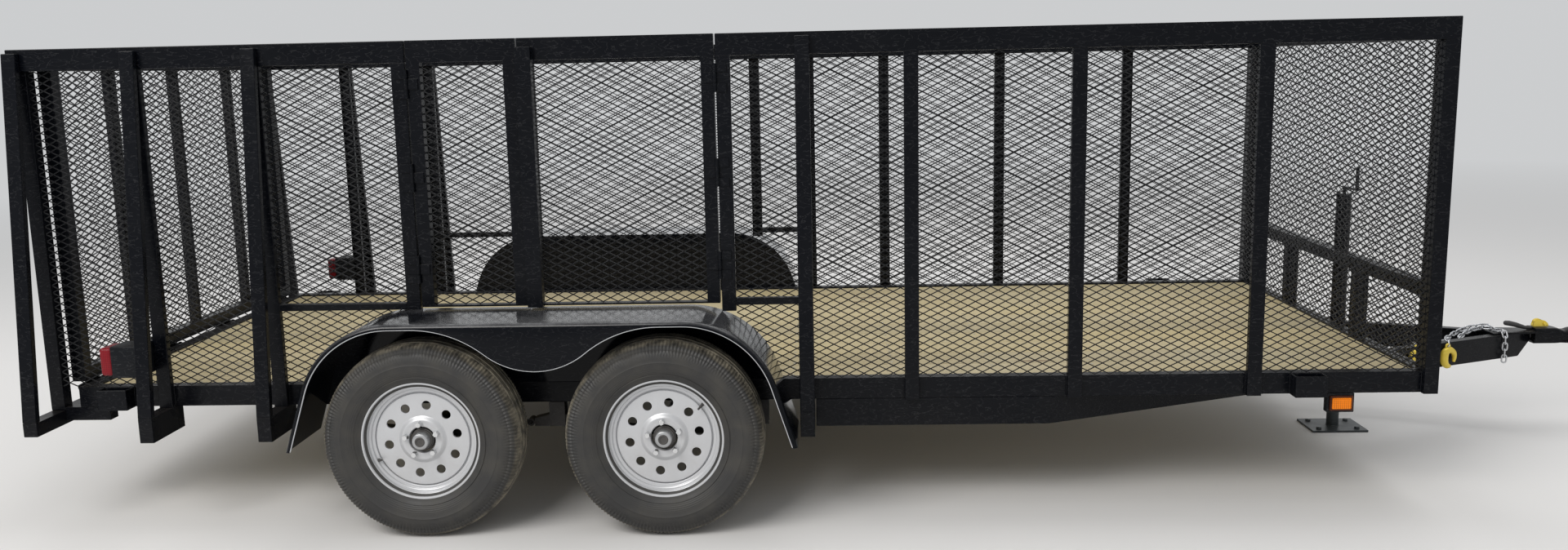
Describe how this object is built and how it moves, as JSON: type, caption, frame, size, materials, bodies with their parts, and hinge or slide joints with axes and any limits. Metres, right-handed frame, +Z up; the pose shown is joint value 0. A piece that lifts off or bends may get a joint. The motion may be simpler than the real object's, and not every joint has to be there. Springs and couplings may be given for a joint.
{
  "type": "utility trailer",
  "caption": "Tandem-axle utility trailer with a board deck, tall mesh walls, a rear ramp gate, a split side gate, twin-arch fenders and an A-frame tongue with jack.",
  "frame": {"origin": "on the ground below the middle of the overall length and width", "axes": "+X forward to the coupler, +Y to the trailer's left, +Z up"},
  "size_m": [6.079, 2.58, 1.704],
  "materials": {
    "black_paint": "satin",
    "black_mesh": "satin",
    "pine_boards": "matte",
    "running_gear": "satin",
    "yellow_zinc": "satin",
    "bright_zinc": "satin",
    "black_plastic": "matte",
    "red_lens": "gloss",
    "amber_lens": "gloss",
    "tyre_rubber": "matte",
    "silver_paint": "satin"
  },
  "bodies": {
    "chassis": {"frame_rails": "black_paint", "end_rails": "black_paint", "crossmembers": "black_paint", "outriggers": "black_paint", "rear_cross_tube": "black_paint", "side_posts": "black_paint", "top_rails": "black_paint", "fender_rails": "black_paint", "front_wall_frame": "black_paint", "fender_right": "black_paint", "fender_left": "black_paint", "tongue_right": "black_paint", "tongue_left": "black_paint", "coupler": "black_paint", "jack_tube": "black_paint", "stake_pockets": "black_paint", "fixed_hinges": "black_paint", "braces": "black_paint", "deck_boards": "pine_boards", "side_mesh": "black_mesh", "front_mesh": "black_mesh", "axles": "running_gear", "leaf_springs": "running_gear", "spring_hangers": "running_gear", "equalizers": "running_gear", "coupler_latch": "yellow_zinc", "safety_chains": "bright_zinc", "lamp_housings": "black_plastic", "tail_lenses": "red_lens", "marker_lenses": "amber_lens"},
    "wheel_right_rear_body": {"tyre_right_rear": "tyre_rubber", "wheel_right_rear": "silver_paint"},
    "wheel_right_front_body": {"tyre_right_front": "tyre_rubber", "wheel_right_front": "silver_paint"},
    "wheel_left_rear_body": {"tyre_left_rear": "tyre_rubber", "wheel_left_rear": "silver_paint"},
    "wheel_left_front_body": {"tyre_left_front": "tyre_rubber", "wheel_left_front": "silver_paint"},
    "rear_gate": {"rear_gate_frame": "black_paint", "rear_gate_mesh": "black_mesh"},
    "side_gate_rear": {"side_gate_rear_frame": "black_paint", "side_gate_rear_mesh": "black_mesh"},
    "side_gate_front": {"side_gate_front_frame": "black_paint", "side_gate_front_mesh": "black_mesh"},
    "jack_inner": {"jack_leg": "black_paint"}
  },
  "joints": [
    {"name": "wheel_right_rear_roll", "type": "hinge", "parent": "chassis", "child": "wheel_right_rear_body", "pos_m": [-1.5815, -1.1675, 0.3445], "axis": [0, 1, 0], "continuous": true},
    {"name": "wheel_right_front_roll", "type": "hinge", "parent": "chassis", "child": "wheel_right_front_body", "pos_m": [-0.7435, -1.1675, 0.3445], "axis": [0, 1, 0], "continuous": true},
    {"name": "wheel_left_rear_roll", "type": "hinge", "parent": "chassis", "child": "wheel_left_rear_body", "pos_m": [-1.5815, 1.1675, 0.3445], "axis": [0, 1, 0], "continuous": true},
    {"name": "wheel_left_front_roll", "type": "hinge", "parent": "chassis", "child": "wheel_left_front_body", "pos_m": [-0.7435, 1.1675, 0.3445], "axis": [0, 1, 0], "continuous": true},
    {"name": "rear_gate_drop", "type": "hinge", "parent": "chassis", "child": "rear_gate", "pos_m": [-2.9605, 0, 0.465], "axis": [0, -1, 0], "range_deg": [0, 110]},
    {"name": "side_gate_rear_swing", "type": "hinge", "parent": "chassis", "child": "side_gate_rear", "pos_m": [-1.625, -1.011, 1.23], "axis": [0, 0, -1], "range_deg": [0, 140]},
    {"name": "side_gate_front_swing", "type": "hinge", "parent": "chassis", "child": "side_gate_front", "pos_m": [-0.5535, -1.011, 1.23], "axis": [0, 0, 1], "range_deg": [0, 140]},
    {"name": "jack_lift", "type": "slide", "parent": "chassis", "child": "jack_inner", "axis": [0, 0, 1], "range_m": [0, 0.115]}
  ]
}
